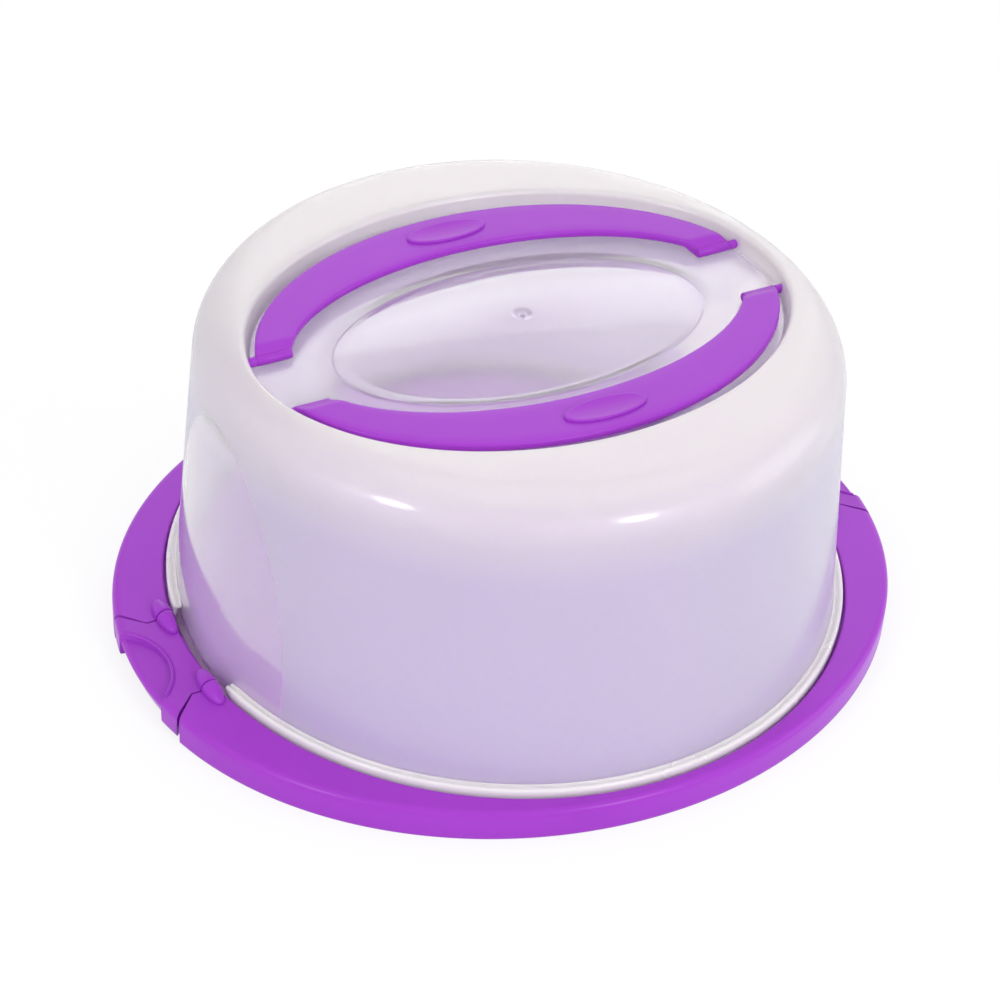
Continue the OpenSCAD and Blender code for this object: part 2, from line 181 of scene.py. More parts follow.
def smoothStep(value, low, high):
    # 0 up to low, 1 from high, t * t * (3 - 2 t) between them
    t = np.clip((value - low) / (high - low), 0, 1)
    return t * t * (3 - 2 * t)


# Moulded polypropylene in solid purple: soft satin skin, broad sheen, faint flow mottling.
def purplePolypropylene():
    material, tree = newMaterial("purple moulded polypropylene")
    place = addNode(tree, "ShaderNodeTexCoord")
    flow = addNode(tree, "ShaderNodeTexNoise", inputs={   # 70 mm clouds
        "Vector": (place, "Object"), "Scale": 14.0, "Detail": 2.0, "Roughness": 0.5})
    tone = addNode(tree, "ShaderNodeMix", {"data_type": "RGBA"}, {
        0: (flow, 0), 6: hexToLinear("9833BC"), 7: hexToLinear("A33CC9")})
    skin = addNode(tree, "ShaderNodeTexNoise", inputs={   # 0.6 mm grain, real skin is finer
        "Vector": (place, "Object"), "Scale": 1600.0, "Detail": 2.0})
    gloss = addNode(tree, "ShaderNodeMapRange", inputs={
        "Value": (flow, 0), "To Min": 0.26, "To Max": 0.34})
    bump = addNode(tree, "ShaderNodeBump", inputs={
        "Strength": 0.12, "Distance": 0.00005, "Height": (skin, 0)})
    plastic = addNode(tree, "ShaderNodeBsdfPrincipled", inputs={
        "Base Color": (tone, 2), "Roughness": (gloss, 0), "IOR": 1.49,
        "Specular IOR Level": 0.22,
        "Subsurface Weight": 0.12, "Subsurface Radius": (0.004, 0.0015, 0.006),
        "Subsurface Scale": 1.0, "Normal": (bump, 0)})
    output = addNode(tree, "ShaderNodeOutputMaterial")
    tree.links.new(plastic.outputs[0], output.inputs["Surface"])
    return material


# Natural polypropylene in a two millimetre sheet. Most of the mould is blasted, so the sheet is
# frosted: milky, with only a blur of what is behind it. The mould is polished at the two end
# windows and in the crown's recess, where the sheet is just hazy and the tray shows through.
windowSizes = {
    "halfWidth": 55.5,    # at the foot
    "height": 109.5,      # of the half oval
    "foot": 18.0,         # height of its centre
    "recessX": 116.4,     # polished oval in the crown
    "recessY": 88.2,
    "edge": 0.6,          # width over which the frosting stops
    "endsFrom": 100.0,    # the windows lie beyond this x, on both sides
    "crownFrom": 133.0,   # height that parts the windows from the recess
    "paintedShadeBelow": 112.0, "paintedLightAbove": 148.0,  # painted shade and light: the sheet's colour goes from a darker bluish shade low down to a lit warm white at the top
    # share of the light that each skin of the sheet passes in the frosted wall, and what is
    # added to it in the windows, in the recess and in the crown round the recess
    "through": 0.62, "inWindow": 0.10, "inRecess": 0.19, "inCrown": -0.08,
    "clearRough": 0.07,   # roughness of the polished places
    "windowPaintedLight": 0.5,    # how far the windows go to the recess's whiter colour, which is painted light
    "polishDepth": -0.5, "blastDepth": 0.1,  # relief, as shares of the bump's distance
}
cloudScale = 22.0         # 45 mm clouds in the sheet
letThrough = 0.8          # share of a lamp's light that goes straight through the sheet
scatterRadius = (0.003, 0.003, 0.003)   # in metres


def letLightIn(tree, plastic):
    # the sheet passes most of a lamp's light on to what is behind it
    ray = addNode(tree, "ShaderNodeLightPath")
    lamp = addNode(tree, "ShaderNodeMath", {"operation": "MULTIPLY"}, {
        0: (ray, "Is Shadow Ray"), 1: letThrough})
    openSheet = addNode(tree, "ShaderNodeBsdfTransparent", inputs={
        "Color": hexToLinear("FCFBFE")})
    mix = addNode(tree, "ShaderNodeMixShader", inputs={
        0: (lamp, 0), 1: (plastic, 0), 2: (openSheet, 0)})
    output = addNode(tree, "ShaderNodeOutputMaterial")
    tree.links.new(mix.outputs[0], output.inputs["Surface"])


def frostedPolypropylene(size):
    material, tree = newMaterial("frosted natural polypropylene")
    place = addNode(tree, "ShaderNodeTexCoord")
    axes = addNode(tree, "ShaderNodeSeparateXYZ", inputs={0: (place, "Object")})

    def combine(operation, first, second, clamp=False):
        node = addNode(tree, "ShaderNodeMath", {"operation": operation, "use_clamp": clamp},
                       {0: first, 1: second})
        return node, 0

    def ovalMask(first, second, centre, halfFirst, halfSecond):
        # 1 inside (first / halfFirst)^2 + ((second - centre) / halfSecond)^2 < 1, 0 outside
        a = combine("DIVIDE", first, halfFirst * millimetre)
        b = combine("SUBTRACT", second, centre * millimetre)
        b = combine("DIVIDE", b, halfSecond * millimetre)
        total = combine("ADD", combine("MULTIPLY", a, a), combine("MULTIPLY", b, b))
        reach = combine("SUBTRACT", 1.0, combine("POWER", total, 0.5))
        return combine("DIVIDE", reach, size["edge"] / halfSecond, clamp=True)

    side = ovalMask((axes, 1), (axes, 2), size["foot"], size["halfWidth"], size["height"])
    crown = ovalMask((axes, 0), (axes, 1), 0.0, size["recessX"], size["recessY"])
    high = combine("GREATER_THAN", (axes, 2), size["crownFrom"] * millimetre)
    low = combine("SUBTRACT", 1.0, high)
    far = combine("ABSOLUTE", (axes, 0), 0.0)
    atEnds = combine("GREATER_THAN", far, size["endsFrom"] * millimetre)
    side = combine("MULTIPLY", combine("MULTIPLY", side, low), atEnds)
    crown = combine("MULTIPLY", crown, high)
    clear = combine("MAXIMUM", side, crown)

    cloud = addNode(tree, "ShaderNodeTexNoise", inputs={
        "Vector": (place, "Object"), "Scale": cloudScale, "Detail": 3.0})
    blast = addNode(tree, "ShaderNodeTexNoise", inputs={   # blasted grain, drawn at 0.7 mm
        "Vector": (place, "Object"), "Scale": 1400.0, "Detail": 2.0})
    frostRough = addNode(tree, "ShaderNodeMapRange", inputs={
        "Value": (cloud, 0), "To Min": 0.44, "To Max": 0.54})
    rough = addNode(tree, "ShaderNodeMix", {"data_type": "FLOAT"}, {
        0: clear, 2: (frostRough, 0), 3: size["clearRough"]})
    rise = addNode(tree, "ShaderNodeMapRange", inputs={
        "Value": (axes, 2), "From Min": size["paintedShadeBelow"] * millimetre,
        "From Max": size["paintedLightAbove"] * millimetre})
    polished = combine("ADD", combine("MULTIPLY", side, size["inWindow"]),
                       combine("MULTIPLY", crown, size["inRecess"]))
    thick = combine("MULTIPLY", combine("SUBTRACT", 1.0, crown),
                    combine("MULTIPLY", (rise, 0), size["inCrown"]))
    through = combine("ADD", combine("ADD", polished, thick), size["through"])
    # painted shade and light: the colour is darker and bluish low on the wall, where shade falls,
    # and warm white high on the crown, where it is lit
    paintedShadeAndLight = addNode(tree, "ShaderNodeMix", {"data_type": "RGBA"}, {
        0: (rise, 0), 6: hexToLinear("E5E2EF"), 7: hexToLinear("F8F4F0")})
    # painted light: the recess, and the windows in part, take a whiter colour that stands in for
    # the bright light coming through them
    tone = addNode(tree, "ShaderNodeMix", {"data_type": "RGBA"}, {
        0: combine("ADD", crown, combine("MULTIPLY", side, size["windowPaintedLight"])),
        6: (paintedShadeAndLight, 2), 7: hexToLinear("FEFBFA")})
    relief = combine("ADD", combine("MULTIPLY", clear, size["polishDepth"]),
                     combine("MULTIPLY", (blast, 0), size["blastDepth"]))
    bump = addNode(tree, "ShaderNodeBump", inputs={
        "Strength": 0.25, "Distance": 0.0003, "Height": relief})
    plastic = addNode(tree, "ShaderNodeBsdfPrincipled", inputs={
        "Base Color": (tone, 2), "Roughness": (rough, 0), "IOR": 1.49,
        "Transmission Weight": through, "Subsurface Weight": 1.0,
        "Subsurface Radius": scatterRadius, "Subsurface Scale": 1.0,
        "Coat Weight": 0.4, "Coat Roughness": 0.10, "Normal": (bump, 0)})
    letLightIn(tree, plastic)
    return material


# The same plastic without windows: the thick rolled bead is milky right through, and the thin
# lower lip passes most of the light, so that the tray's purple trough shows through it. The lip's
# own pale purple tint is painted shade, standing in for the shaded purple gap behind the latch.
def plainPolypropylene(name, through, rough, tint):
    material, tree = newMaterial(name)
    place = addNode(tree, "ShaderNodeTexCoord")
    cloud = addNode(tree, "ShaderNodeTexNoise", inputs={
        "Vector": (place, "Object"), "Scale": cloudScale, "Detail": 3.0})
    gloss = addNode(tree, "ShaderNodeMapRange", inputs={
        "Value": (cloud, 0), "To Min": rough, "To Max": rough + 0.08})
    plastic = addNode(tree, "ShaderNodeBsdfPrincipled", inputs={
        "Base Color": hexToLinear(tint), "Roughness": (gloss, 0), "IOR": 1.49,
        "Transmission Weight": through, "Subsurface Weight": 1.0,
        "Subsurface Radius": scatterRadius, "Subsurface Scale": 1.0})
    letLightIn(tree, plastic)
    return material


purplePlastic = purplePolypropylene()
frostedPlastic = frostedPolypropylene(windowSizes)
beadPlastic = plainPolypropylene("natural polypropylene, rolled bead", 0.3, 0.22, "FBF3F2")
# painted shade: the lip's pale purple tint stands in for the dark purple of the shaded gap behind
# the latch
lipPaintedShadePlastic = plainPolypropylene("natural polypropylene, thin clear lip", 0.75, 0.25, "D9B9DC")
print("stage: materials made")


traySizes = {
    "halfX": 174.4, "halfY": 156.2,   # outer oval
    "height": 14.0,
    "opening": 150.0,                 # radius of the round opening
    "edge": 3.0, "innerEdge": 0.8,    # rounding at the outside and at the opening
    "skirt": [(0.0, 8.0), (0.0, 5.0), (0.0, 2.0), (0.0, 0.6), (-0.3, 0.15), (-0.6, 0.0)],
    "wall": 2.2,
    "troughZ": 7.7, "troughUnder": 5.5,
    "plateR": 140.0, "plateZ": 9.9,
    "footRing": 62.0,
    "hingeX": 151.0, "hingeZ": 14.5, "hingeY": 24.55,
    "knuckle": 4.2, "knuckleHalf": 11.5,
    "gap": 0.8, "outerGap": 1.9,      # parting gap beside the latch, at the opening and outside
    "latchHalf": 24.3,                # half the latch's width at the opening
    "cornerX": 159.3, "flare": 44.0,  # where its side turns outwards, and by how many degrees
    "cornerAt": 0.46,                 # that corner, as a share of the way out
    "ledgeInset": 7.0, "ledgeOver": 1.0,
    "ribs": 24, "floorRibs": 12, "rib": 1.6,
    "ribLift": 3.0, "ribInset": 1.1, "floorRibTop": 8.0, "ribTop": 12.0,
    "ribOuter": 1.2,                  # how far a rib stops inside the outer oval
    "ribClear": 12.0,                 # room beside the latch without a rib
    "columns": 200, "rows": 8,        # grid of the rim: along a half, and across each part
    "bendReach": 0.1,                 # share of the half over which its rays bend
}
edgeTurns = [12, 25, 38, 52, 65, 78, 90]   # degrees round the outer edge


def flareMeet(size, grow, inset):
    # where the latch's flared side meets the outer oval moved in by inset: found by halving
    a, b = size["halfX"] - inset, size["halfY"] - inset
    slope = math.tan(math.radians(size["flare"]))
    low, high = 0.0, 25.0   # millimetres beyond the corner
    for _ in range(40):
        mid = (low + high) / 2
        x, y = size["cornerX"] + mid, size["latchHalf"] + grow + slope * mid
        if (x / a) ** 2 + (y / b) ** 2 < 1:
            low = mid
        else:
            high = mid
    return np.array([size["cornerX"] + low, size["latchHalf"] + grow + slope * low])


def partingLine(size, grow, outerGrow, inset, share):
    # the latch's side in plan, from the opening to the outer oval, at shares 0 to 1
    side = size["latchHalf"] + grow
    start = np.array([math.sqrt(size["opening"] ** 2 - side ** 2), side])
    corner = np.array([size["cornerX"], side])
    end = flareMeet(size, outerGrow, inset)
    at = [0, size["cornerAt"], 1]
    x = np.interp(share, at, [start[0], corner[0], end[0]])
    y = np.interp(share, at, [start[1], corner[1], end[1]])
    return np.stack([x, y], 1)


def roundedEdge(edge, top, degrees):
    # a quarter round from the flat top to the upright wall: (offset outwards, height)
    return [(edge * math.sin(t) - edge, top - edge + edge * math.cos(t))
            for t in np.radians(degrees)]


def flatRow(plan, height):
    # a row of points in plan, all at one height
    return np.concatenate([plan, np.full((len(plan), 1), height)], 1)


def sideWall(upper, spread, footAt):
    # Upright wall hung from a skin's edge: three rows, the edge itself, the foot and halfway.
    # The last points of the edge run down the skirt, so their feet are spread along the foot
    # line instead, by equal steps from the first of them to the corner.
    lower = upper.copy()
    share = np.linspace(0, 1, spread)[:, None]
    lower[-spread:] = upper[-spread] + (upper[-1] - upper[-spread]) * share
    lower[:, 2] = [footAt(x) for x in lower[:, 0]]
    return np.stack([upper, (upper + lower) / 2, lower]), False


def rimHalf(size):
    # Half of the rim as one open skin. Across it goes up the opening, over the top and down
    # the skirt; along it runs from one latch to the other. Straight rays join the round
    # opening to the oval edge, and near each latch they bend to follow its parting line.
    along = np.linspace(0, 1, size["columns"])
    corner, rows = size["cornerAt"], size["rows"]
    share = np.unique(np.concatenate([np.linspace(0, corner, rows), np.linspace(corner, 1, rows)]))
    line = partingLine(size, size["gap"], size["outerGap"], size["edge"], share)
    a, b = size["halfX"] - size["edge"], size["halfY"] - size["edge"]
    firstIn = math.asin(line[0, 1] / size["opening"])
    firstOut = math.asin(line[-1, 1] / b)
    turnIn = firstIn + (math.pi - 2 * firstIn) * along
    turnOut = firstOut + (math.pi - 2 * firstOut) * along
    inner = size["opening"] * np.stack([np.cos(turnIn), np.sin(turnIn)], 1)
    outer = np.stack([a * np.cos(turnOut), b * np.sin(turnOut)], 1)
    lip = size["innerEdge"]
    unit = inner / size["opening"]
    start = inner + unit * lip
    straight = start[None] + share[:, None, None] * (outer - start)[None]
    bend = line - straight[:, 0]
    near = np.clip(1 - along / size["bendReach"], 0, 1) ** 2
    plan = straight + near[None, :, None] * bend[:, None, :]
    plan = plan + near[::-1][None, :, None] * (bend * [-1, 1])[:, None, :]
    plan[0] = start
    z = size["height"]
    top = np.concatenate([plan, np.full(plan.shape[:2] + (1,), z)], 2)
    # the opening's wall, up to its rounded edge
    wallRows = [flatRow(inner, h) for h in (size["troughUnder"], 8.0, z - 2 * lip, z - lip)]
    roundRows = [flatRow(inner + unit * (lip * (1 - math.cos(t))), z - lip + lip * math.sin(t))
                 for t in np.radians([30, 60])]
    # the outer edge and skirt: the oval grows while its ends stay on the parting line
    skirtRows = []
    for off, h in roundedEdge(size["edge"], z, edgeTurns) + size["skirt"]:
        meet = flareMeet(size, size["outerGap"], -off)
        aHere, bHere = size["halfX"] + off, size["halfY"] + off
        first = math.asin(meet[1] / bHere)
        turn = first + (math.pi - 2 * first) * along
        skirtRows.append(flatRow(np.stack([aHere * np.cos(turn), bHere * np.sin(turn)], 1), h))
    skin = np.concatenate([np.array(wallRows), np.array(roundRows), top, np.array(skirtRows)])
    # the pocket's side wall below the parting line, at both ends, from the rounded edge on
    ends = [sideWall(skin[len(wallRows) - 1:, column], len(skirtRows) + 5, lambda x: 0.0)
            for column in (0, -1)]
    return [(skin, False)] + ends


def eggHalf(size, cut, mirrorY):
    # an egg-shaped knuckle: radius = knuckle * sqrt(1 - (t / half)^2) along the hinge line,
    # from a flat cut to its tip, with a softened edge at the cut
    half, reach = size["knuckleHalf"], size["knuckle"]
    steps = np.linspace(math.acos(-cut / half), math.pi, 16)
    radius = reach * np.sin(steps)
    along = -half * np.cos(steps)
    radius = np.concatenate([[0, radius[0] - 0.5, radius[0] - 0.15], radius])
    along = np.concatenate([[cut, cut, cut + 0.12], along])
    along[3] = cut + 0.4
    grid = turnedAboutLine(size["hingeX"], size["hingeZ"], size["hingeY"] + along, radius, 40)
    if mirrorY:
        grid = grid * [1, -1, 1] + [0, 2 * size["hingeY"], 0]
    # the egg is flattened where it would stand out into the round opening
    far = np.hypot(grid[..., 0], grid[..., 1])
    grid[..., :2] *= np.maximum(1, size["opening"] / far)[..., None]
    return grid


def trayFloor(size):
    # turned floor: trough, step up to the plate, its underside and the foot ring
    turn = np.linspace(0, tau, 240, endpoint=False)
    plate, under = size["plateR"], size["troughUnder"]
    top, wall = size["plateZ"], size["wall"]
    reach = size["opening"] + wall / 2
    profile = [(0.0, top), (50, top), (100, top), (plate - 1.5, top), (plate - 0.5, top - 0.25),
               (plate, top - 0.9), (plate, size["troughZ"] + 0.6), (plate + 0.5, size["troughZ"]),
               (reach, size["troughZ"]), (reach, under), (plate - wall, under),
               (plate - wall, top - wall), (100, top - wall), (0.0, top - wall)]
    ring = size["footRing"]
    foot = [(ring - wall, top - wall + 0.3), (ring - wall, 0.4), (ring - wall + 0.4, 0.0),
            (ring - 0.4, 0.0), (ring, 0.4), (ring, top - wall + 0.3)]
    return [(revolve(profile, turn), True), (revolve(foot + foot[:1], turn), True)]


def ribBoxes(size):
    # thin upright plates on spokes, all alike: a box between two radii at each angle
    grids = []

    def spoke(angle, fromR, toR, low, high):
        # (r cos a - w sin a, r sin a + w cos a) for half widths w; the ends shrink to a point
        half = size["rib"] / 2
        ring = np.array([[-half, low], [half, low], [half, high], [-half, high]])
        rows = []
        for r, shrink in ((fromR, 0), (fromR, 1), (toR, 1), (toR, 0)):
            across, z = ring[:, 0] * shrink, ring[:, 1] * shrink + (low + high) / 2 * (1 - shrink)
            rows.append(np.stack([r * math.cos(angle) - across * math.sin(angle),
                                  r * math.sin(angle) + across * math.cos(angle), z], 1))
        grids.append((np.array(rows), True))

    inset = size["ribInset"]
    for i in range(size["floorRibs"]):
        angle = (i + 0.5) * tau / size["floorRibs"]
        spoke(angle, size["footRing"] - inset, size["plateR"] - inset, size["ribLift"],
              size["floorRibTop"])
    a, b = size["halfX"] - size["ribOuter"], size["halfY"] - size["ribOuter"]
    for i in range(size["ribs"]):
        angle = (i + 0.5) * tau / size["ribs"]
        c, s = math.cos(angle), math.sin(angle)
        outer = 1 / math.sqrt((c / a) ** 2 + (s / b) ** 2)
        if abs(s) * outer > size["latchHalf"] + size["ribClear"]:
            spoke(angle, size["opening"] + inset, outer, size["ribLift"], size["ribTop"])
    return grids


def latchLedge(size):
    # the step of the skirt behind the latch: flat top, then straight down to the table. Its
    # sides run a little way under the rim.
    share = np.linspace(-1, 1, 60)
    inset, over = size["ledgeInset"], size["ledgeOver"]
    side = share * (size["latchHalf"] + over)
    x = np.sqrt((size["opening"] - 0.5) ** 2 - side ** 2)
    inner = flatRow(np.stack([x, side], 1), size["troughZ"])
    y = share * flareMeet(size, size["gap"] + over, inset)[1]
    x = (size["halfX"] - inset) * np.sqrt(1 - (y / (size["halfY"] - inset)) ** 2)
    down = [flatRow(np.stack([x, y], 1), h) for h in (size["troughZ"], 4.0, 0.0)]
    middle = [inner + (down[0] - inner) * k for k in (0.35, size["cornerAt"], 0.75)]
    for row in middle[:2]:   # up to the corner the ledge keeps its width
        row[:, 1] = side
    return [(np.array([inner] + middle + down), False)]


def makeTray(size):
    half = rimHalf(size)
    rim = makePurple("tray_rim", half + mirrored(half, 1), "tray_body", "base_tray", 40)
    addBevel(rim, 0.8, 3, 50)
    addWall(rim, size["wall"])
    ledge = latchLedge(size)
    shelf = makePurple("tray_latch_ledges", ledge + halfTurn(ledge), "tray_body", "base_tray")
    addBevel(shelf, 0.5, 2, 50)
    addWall(shelf, size["wall"])
    makePurple("tray_floor", trayFloor(size), "tray_body", "base_tray")
    makePurple("tray_ribs", ribBoxes(size), "tray_body", "base_tray")
    egg = [(eggHalf(size, size["gap"] / 2, False), True)]
    both = egg + mirrored(egg, 1)
    makePurple("tray_knuckles", both + mirrored(both, 0), "tray_body", "base_tray")


makeTray(traySizes)
print("stage: tray made")


latchSizes = dict(traySizes, **{
    "lift": 2.5,           # lower edge above the table
    "swingZ": 9.5,         # lower edge of the inner part
    "skirt": [(0.0, 9.0), (0.0, 7.0), (0.0, 5.0), (0.0, 3.2), (-0.3, 2.5)],
    "scoopR": 28.6, "scoopCrest": 160.0,      # the scoop's arch and where it starts
    "scoopStep": 1.6, "scoopFrom": -0.2, "scoopTo": 0.45,   # its drop, and where the drop is
    "scoopFall": 1.2, "scoopRun": 12.0,       # how much it falls away outwards, and over what
    "scoopLean": 2.5, "scoopEdge": 2.4, "scoopBack": 0.8, "scoopRaise": 0.35,
    "groove": 0.45, "grooveAt": 0.95, "grooveWidth": 0.45,  # depth, place and width
    "ridge": 0.55, "ridgeTurn": 1.2, "ridgeSides": 12,      # line round the scoop
    "noseHalf": 14.0, "noseZ": 9.6, "noseInner": 148.0,
    "noseThick": 1.4, "noseRoot": 150.6, "noseBack": 152.2, "noseTop": 12.0,
    "pin": 1.5, "pinLength": 6.0,
    "columns": 201, "innerRows": 26, "topRows": 90, "footRows": 30,   # grid of the flap
})


def latchSkin(size):
    # The latch as one open skin. Columns run across it, from -1 at one parting line to 1 at
    # the other; rows run from the opening to the outer edge and down the outside. Inside the
    # arch of the scoop the surface drops by a smooth step and falls away outwards.
    across = np.linspace(-1, 1, size["columns"])
    corner = size["cornerAt"]
    share = np.unique(np.concatenate([np.linspace(0, corner, size["innerRows"]),
                                      np.linspace(corner, 1, size["topRows"])]))
    line = partingLine(size, 0.0, 0.0, size["edge"], share)
    a, b = size["halfX"] - size["edge"], size["halfY"] - size["edge"]

    def innerX(y):   # the round opening
        return np.sqrt(size["opening"] ** 2 - y ** 2)

    def outerX(y):   # the outer oval
        return a * np.sqrt(1 - (y / b) ** 2)

    reach = (line[:, 0] - innerX(line[:, 1])) / (outerX(line[:, 1]) - innerX(line[:, 1]))
    y = line[:, 1][:, None] * across[None, :]
    x = innerX(y) + (outerX(y) - innerX(y)) * reach[:, None]
    height, centre = size["height"], size["scoopCrest"] + size["scoopR"]
    inside = size["scoopR"] - np.hypot(x - centre, y)
    w = smoothStep(inside, size["scoopFrom"], size["scoopTo"])
    fall = size["scoopFall"] * np.clip((x - size["scoopCrest"]) / size["scoopRun"], 0, 1.2)
    # a shallow groove, a bell curve across, runs along the outside of the ridge
    groove = size["groove"] * np.exp(-((inside + size["grooveAt"]) / size["grooveWidth"]) ** 2)
    z = height * (1 - w) + (height - size["scoopStep"] - fall) * w - groove
    rows = [np.stack([x, y, z], 2)]
    # the outer edge and wall, plain and scooped, mixed by how far the column is in the scoop
    plain = roundedEdge(size["edge"], height, edgeTurns) + size["skirt"]
    start = height - size["scoopStep"] - size["scoopFall"]
    e, back, lean = size["scoopEdge"], size["scoopBack"], size["scoopLean"]
    scooped = [(off - back, h + size["scoopRaise"])
               for off, h in roundedEdge(e, start, [14, 28, 42, 56, 70, 84, 98])]
    scooped += [(-back - lean * k, start - e - (start - e - size["lift"]) * k)
                for k in (0.15, 0.4, 0.65, 0.9, 1.0)]
    atEdge = w[-1]
    for (offP, zP), (offS, zS) in zip(plain, scooped):
        off = offP * (1 - atEdge) + offS * atEdge
        meet = flareMeet(size, 0.0, -offP)
        yRow = across * meet[1]
        aHere, bHere = size["halfX"] + off, size["halfY"] + off
        xRow = aHere * np.sqrt(1 - (yRow / bHere) ** 2)
        zRow = zP * (1 - atEdge) + zS * atEdge
        rows.append(np.stack([xRow, yRow, zRow], 1)[None])
    skin = np.concatenate(rows)

    def footAt(x):   # the side's lower edge
        return size["swingZ"] if x < size["cornerX"] else size["lift"]

    spread = len(plain) + size["footRows"]
    return [(skin, False)] + [sideWall(skin[:, column], spread, footAt) for column in (0, -1)]


def scoopRidge(size):
    # The raised line round the scoop: a small half-buried tube whose centre line follows the
    # arch, centre - radius * cos t, radius * sin t. It ends where the top begins to round over
    # the outer edge, and tapers there by sqrt(1 - share^40).
    centre = size["scoopCrest"] + size["scoopR"]
    a, b = size["halfX"] - size["edge"], size["halfY"] - size["edge"]
    turn = np.linspace(-size["ridgeTurn"], size["ridgeTurn"], 400)
    x, y = centre - size["scoopR"] * np.cos(turn), size["scoopR"] * np.sin(turn)
    kept = (x / a) ** 2 + (y / b) ** 2 < 1
    x, y, turn = x[kept], y[kept], turn[kept]
    reach = size["ridge"] * np.sqrt(np.clip(1 - np.linspace(-1, 1, len(x)) ** 40, 0.02, 1))
    around = np.linspace(0, tau, size["ridgeSides"], endpoint=False)
    outX, outY = -np.cos(turn)[:, None], np.sin(turn)[:, None]
    sideways, up = reach[:, None] * np.cos(around), reach[:, None] * np.sin(around)
    grid = np.stack([x[:, None] + outX * sideways, y[:, None] + outY * sideways,
                     size["height"] + up], 2)
    return [(grid, True)]


def latchNose(size):
    # the catch under the latch: a flat tongue that ends on an arc just outside the lid's lip
    share = np.linspace(-1, 1, 30)
    y = share * size["noseHalf"]
    inner = np.sqrt(size["noseInner"] ** 2 - y ** 2)
    low, high, top = size["noseZ"], size["noseZ"] + size["noseThick"], size["noseTop"]
    root, back = np.full_like(y, size["noseRoot"]), np.full_like(y, size["noseBack"])
    ring = [(inner, low), (back, low), (back, top), (root, top), (root, high), (inner, high)]
    rows = np.array([np.stack([x, y, np.full_like(y, z)], 1) for x, z in ring])
    grid = rows.transpose(1, 0, 2)
    ends = [np.repeat(g.mean(0)[None], len(ring), 0)[None] for g in (grid[0], grid[-1])]
    return [(np.concatenate([ends[0], grid, ends[1]]), True)]


def latchPins(size):
    # a pin with a chamfered tip, turned about the hinge line, at each end of the latch
    reach, tip = size["pin"], size["hingeY"] + size["pinLength"]
    along = np.array([size["hingeY"] - 2, size["hingeY"] - 2, tip - 0.3, tip, tip])
    radius = np.array([0, reach, reach, reach - 0.3, 0])
    grid = turnedAboutLine(size["hingeX"], size["hingeZ"], along, radius, 24)
    return [(grid, True)] + mirrored([(grid, True)], 1)


def makeLatch(size, name, body, turnRound):
    place = halfTurn if turnRound else list
    flap = makePurple(name + "_flap", place(latchSkin(size)), body, name, 40)
    addBevel(flap, 0.8, 3, 50)
    addWall(flap, size["wall"])
    egg = [(eggHalf(size, size["gap"] / 2, True), True)]
    small = egg + mirrored(egg, 1) + latchNose(size) + latchPins(size) + scoopRidge(size)
    makePurple(name + "_hinge_and_nose", place(small), body, name)


makeLatch(latchSizes, "right_latch", "right_latch_body", False)
makeLatch(latchSizes, "left_latch", "left_latch_body", True)
print("stage: latches made")


lidSizes = {
    "foot": 145.0, "footZ": 7.7,
    "draft": 4.3,                    # lean of the wall, in degrees
    "crown": 146.6, "shoulder": 21.0,
    "shoulderTo": 54,                # degrees at which the shoulder's arc goes over to the oval
    "wall": 2.0,
    "recessX": 118.0, "recessY": 89.8, "recessZ": 137.4,
    "lip": 2.5, "lean": 1.2, "corner": 1.0,
    "panelX": 84.0, "panelY": 47.0, "panelRise": 8.0, "panelStep": 0.4, "stepWidth": 1.4,
    "flatFrom": 0.12,                # share of the panel inside which its rings turn round
    "dimple": 4.5, "dimpleDepth": 0.9,
    "flange": 148.7, "beadTop": 16.5, "beadFoot": 10.5, "beadHalfGap": 28.0,
    "lipR": 147.6, "lipT": 1.4, "lipLift": 0.15,   # thin lip, just clear of the trough's floor
    "around": 288, "beadColumns": 220, "lipColumns": 240,
    "wallRows": 30, "shoulderRows": 18, "blendRows": 16, "floorRows": 10, "stepRows": 9,
    "crownRows": 26, "flatRows": 6,
}


def domeHeight(size, radius):
    # the crown is flat, then the shoulder's arc: z = centre + sqrt(r^2 - (x - centre)^2)
    draft = math.radians(size["draft"])
    shoulderZ = size["crown"] - size["shoulder"]
    slant = size["shoulder"] + (shoulderZ - size["footZ"]) * math.sin(draft)
    centre = size["foot"] - slant / math.cos(draft)
    out = np.clip(radius - centre, 0, size["shoulder"] - 1e-6)
    return shoulderZ + np.sqrt(size["shoulder"] ** 2 - out ** 2), centre, shoulderZ


